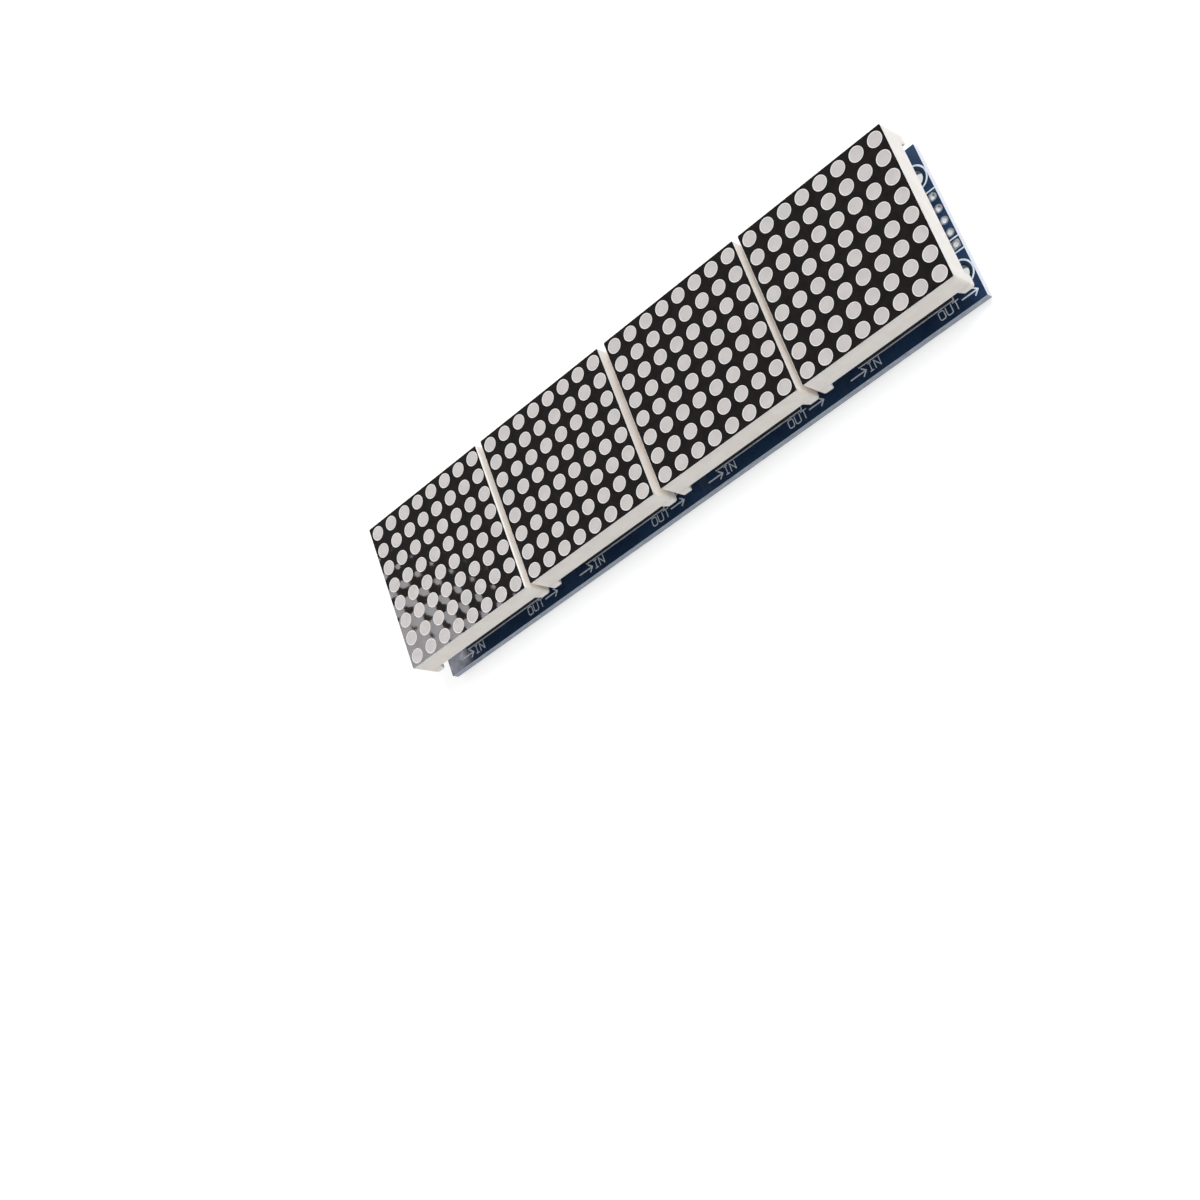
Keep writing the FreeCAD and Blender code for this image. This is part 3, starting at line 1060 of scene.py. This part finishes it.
def cut_round(piece, x, y, radius, low, high):
    """Sinks a round mark into a piece."""
    outline = circle(x, y, radius, SMALL_STEPS)
    cutter_shape = bmesh.new()
    stack(cutter_shape, ((outline, low), (outline, high)))
    bmesh.ops.recalc_face_normals(cutter_shape, faces=cutter_shape.faces)
    mesh = bpy.data.meshes.new("cutter")
    cutter_shape.to_mesh(mesh)
    cutter_shape.free()
    mesh.transform(Matrix.Scale(MM, 4))
    cutter = bpy.data.objects.new("cutter", mesh)
    bpy.context.scene.collection.objects.link(cutter)
    cut = piece.modifiers.new("mark", "BOOLEAN")
    cut.object = cutter
    cut.solver = "EXACT"
    bpy.context.view_layer.update()
    finished = piece.evaluated_get(bpy.context.evaluated_depsgraph_get())
    made = bpy.data.meshes.new_from_object(finished)
    piece.modifiers.clear()
    piece.data = made
    bpy.data.objects.remove(cutter)


def make_chip(number, look):
    """Driver chip with a round mark by its first lead."""
    node = f"driver_chip_{number}"
    low, high = node_box(node)
    shape = shape_of(node)
    soften(shape, CHIP_EDGE, 1)
    piece = add_piece(f"chip_{number}", shape, look, (node,))
    x = low.x + MARK_IN[0]
    y = low.y + MARK_IN[1]
    cut_round(piece, x, y, MARK_RADIUS, high.z - MARK_DEPTH, high.z + 1)


def make_leads(number, look):
    """Leads bent down from the chip's flanks to flat feet on the board."""
    node = f"driver_leads_{number}"
    high = node_box(node)[1]
    level = high.z - LEAD_THICKNESS / 2
    foot = FRONT + LEAD_THICKNESS / 2
    end = high.y - LEAD_THICKNESS / 2
    path = [
        (end - LEAD_ROOT, level),
        (end - LEAD_SHOULDER, level),
        (end - LEAD_KNEE, level - LEAD_KNEE_DROP),
        (end - LEAD_ANKLE, foot + LEAD_ANKLE_RISE),
        (end - LEAD_HEEL, foot),
        (end, foot),
    ]
    outline = stroke(path, LEAD_THICKNESS)
    shape = bmesh.new()
    for side in (-1, 1):
        for lead in range(LEADS_A_SIDE):
            x = section_centre(number) + (lead - (LEADS_A_SIDE - 1) / 2) * LEAD_PITCH
            rings = [
                [shape.verts.new((x + edge * LEAD_WIDTH / 2, side * u, v)) for u, v in outline]
                for edge in (-1, 1)
            ]
            bridge(shape, rings[0], rings[1])
            shape.faces.new(rings[0])
            shape.faces.new(rings[1])
    add_piece(f"leads_{number}", shape, look, (node,))


def block(shape, low, high):
    """A plain block between two corners."""
    centre = (low + high) / 2
    half = (high - low) / 2
    outline = rectangle(centre.x, centre.y, half.x, half.y)
    stack(shape, ((outline, low.z), (outline, high.z)))


def make_small_part(number, node, name, look, tin):
    """A chip part: ceramic body between two tinned end caps."""
    low, high = node_box(f"{node}_{number}")
    cap = (high.x - low.x) * END_CAP_SHARE
    skin = Vector((END_CAP_SKIN,) * 3)
    body = bmesh.new()
    block(body, low + skin, high - skin)
    soften(body, CERAMIC_EDGE, 1)
    add_piece(f"{name}_{number}", body, look, (f"{node}_{number}",))
    caps = bmesh.new()
    block(caps, low, Vector((low.x + cap, high.y, high.z)))
    block(caps, Vector((high.x - cap, low.y, low.z)), high)
    soften(caps, END_CAP_EDGE, 2)
    add_piece(f"{name}_caps_{number}", caps, tin)


def make_module():
    """Every piece of the object."""
    plastic = make_housing_plastic()
    film = make_film_ink()
    resin = make_lens_resin()
    cup = make_cup_plastic()
    tin = make_tin()
    solder = make_solder()
    spring = make_spring()
    black = make_socket_plastic()
    epoxy = make_chip_epoxy()
    coat = make_resistor_coat()
    ceramic = make_capacitor_ceramic()
    led_laminate = make_led_laminate()
    lacquer = make_lacquer()
    ink = make_ink()
    laminate = make_laminate("laminate", srgb(132, 142, 158), srgb(182, 188, 198))
    # Paler copy of the laminate for the board's end edges: painted highlight where the light falls on the
    # ends.
    end_highlight = make_laminate("end_highlight_laminate", srgb(226, 230, 236), srgb(244, 246, 249))
    make_board(lacquer, laminate, end_highlight)
    make_pads(tin)
    make_hole_rings(make_ring_mask())
    make_print(ink)
    make_back_print(ink)
    make_tracks(make_covered_copper())
    for number in SECTIONS:
        make_housing(number, plastic)
        make_face(number, film)
        make_cups(number, cup)
        make_lenses(number, resin)
        make_socket(number, "upper", 1, black)
        make_socket(number, "lower", -1, black)
        make_joints(number, solder)
        make_chip(number, epoxy)
        make_leads(number, tin)
        make_small_part(number, "current_resistor", "resistor", coat, tin)
        make_small_part(number, "bypass_capacitor", "bypass", ceramic, tin)
        make_small_part(number, "reservoir_capacitor", "reservoir", ceramic, tin)
        dress(f"resin_fill_{number}", resin)
        dress(f"led_board_{number}", led_laminate)
        dress(f"display_pins_{number}", tin)
        dress(f"socket_contacts_{number}", spring)


def make_camera():
    """The photograph's view: from above the output end, on the side with the words."""
    camera = bpy.data.objects.new("camera", bpy.data.cameras.new("camera"))
    bpy.context.scene.collection.objects.link(camera)
    columns = (CAMERA_RIGHT, CAMERA_UP, CAMERA_RIGHT.cross(CAMERA_UP))
    turn = Matrix(columns).transposed()
    camera.matrix_world = Matrix.LocRotScale(Vector(CAMERA_PLACE), turn.to_quaternion(), None)
    camera.data.lens = CAMERA_LENS
    camera.data.sensor_width = SENSOR
    camera.data.shift_x = -HALF_DOT
    camera.data.shift_y = HALF_DOT
    camera.data.clip_start, camera.data.clip_end = CAMERA_RANGE
    bpy.context.scene.camera = camera


def seen_directly(tree):
    """1 for rays from the camera, in mirrors and through glass, and 0 for light."""
    path = tree.nodes.new("ShaderNodeLightPath")
    first = tree.nodes.new("ShaderNodeMath")
    second = tree.nodes.new("ShaderNodeMath")
    first.operation = "MAXIMUM"
    second.operation = "MAXIMUM"
    tree.links.new(path.outputs["Is Camera Ray"], first.inputs[0])
    tree.links.new(path.outputs["Is Glossy Ray"], first.inputs[1])
    tree.links.new(first.outputs["Value"], second.inputs[0])
    tree.links.new(path.outputs["Is Transmission Ray"], second.inputs[1])
    return second.outputs["Value"]


def make_world():
    """Even sky light, seen as a white backdrop."""
    world = bpy.data.worlds.new("studio")
    world.use_nodes = True
    bpy.context.scene.world = world
    tree = world.node_tree
    tree.nodes.clear()
    light = tree.nodes.new("ShaderNodeBackground")
    light.inputs["Strength"].default_value = WORLD_LIGHT
    backdrop = tree.nodes.new("ShaderNodeBackground")
    choice = tree.nodes.new("ShaderNodeMixShader")
    end = tree.nodes.new("ShaderNodeOutputWorld")
    for sky in (light, backdrop):
        sky.inputs["Color"].default_value = (1, 1, 1, 1)
    tree.links.new(seen_directly(tree), choice.inputs["Fac"])
    tree.links.new(light.outputs["Background"], choice.inputs[1])
    tree.links.new(backdrop.outputs["Background"], choice.inputs[2])
    tree.links.new(choice.outputs["Shader"], end.inputs["Surface"])


def make_floor():
    """White floor that glows where it is seen, so the shadow stays soft, and more in mirrors."""
    look = bpy.data.materials.new("floor")
    look.use_nodes = True
    tree = look.node_tree
    tree.nodes.clear()
    paper = tree.nodes.new("ShaderNodeBsdfDiffuse")
    glow = tree.nodes.new("ShaderNodeEmission")
    ray = tree.nodes.new("ShaderNodeLightPath")
    seen = tree.nodes.new("ShaderNodeMath")
    strength = tree.nodes.new("ShaderNodeMath")
    total = tree.nodes.new("ShaderNodeAddShader")
    end = tree.nodes.new("ShaderNodeOutputMaterial")
    paper.inputs["Color"].default_value = (FLOOR_GREY, FLOOR_GREY, FLOOR_GREY, 1)
    seen.operation = "MULTIPLY"
    seen.inputs[1].default_value = FLOOR_GLOW_SEEN
    strength.operation = "MULTIPLY_ADD"
    strength.inputs[1].default_value = FLOOR_GLOW_MIRRORED
    tree.links.new(ray.outputs["Is Camera Ray"], seen.inputs[0])
    tree.links.new(ray.outputs["Is Glossy Ray"], strength.inputs[0])
    tree.links.new(seen.outputs["Value"], strength.inputs[2])
    tree.links.new(strength.outputs["Value"], glow.inputs["Strength"])
    tree.links.new(paper.outputs["BSDF"], total.inputs[0])
    tree.links.new(glow.outputs["Emission"], total.inputs[1])
    tree.links.new(total.outputs["Shader"], end.inputs["Surface"])
    bpy.ops.mesh.primitive_plane_add(size=FLOOR_SIDE)
    floor = bpy.context.object
    floor.name = "floor"
    floor.data.materials.append(look)


def make_lamp(name, place, target, size, power, colour):
    """A round lamp that the camera doesn't see, turned to face its target."""
    lamp = bpy.data.objects.new(name, bpy.data.lights.new(name, "AREA"))
    lamp.data.shape = "DISK"
    lamp.data.size = size
    lamp.data.energy = power
    lamp.data.color = colour
    lamp.location = place
    lamp.rotation_euler = (Vector(target) - Vector(place)).to_track_quat("-Z", "Y").to_euler()
    lamp.visible_camera = False
    bpy.context.scene.collection.objects.link(lamp)
    return lamp


def make_lights():
    """A large soft key beyond the output end, and a small lamp that the first display mirrors."""
    make_lamp(
        "key",
        place=(0.505, 0.29, 0.93),
        target=(0, 0, 0),
        size=0.6,
        power=8.2,
        colour=(0.87, 0.925, 1.0),
    )
    mirrored = make_lamp(
        "mirrored",
        place=(-0.44, 0.198, 0.433),
        target=(-0.065, -0.016, 0.014),
        size=0.134,
        power=1.08,
        colour=(1, 0.97, 1),
    )
    mirrored.visible_diffuse = False


make_module()
make_camera()
make_world()
make_floor()
make_lights()

bpy.context.scene.view_settings.view_transform = "Standard"
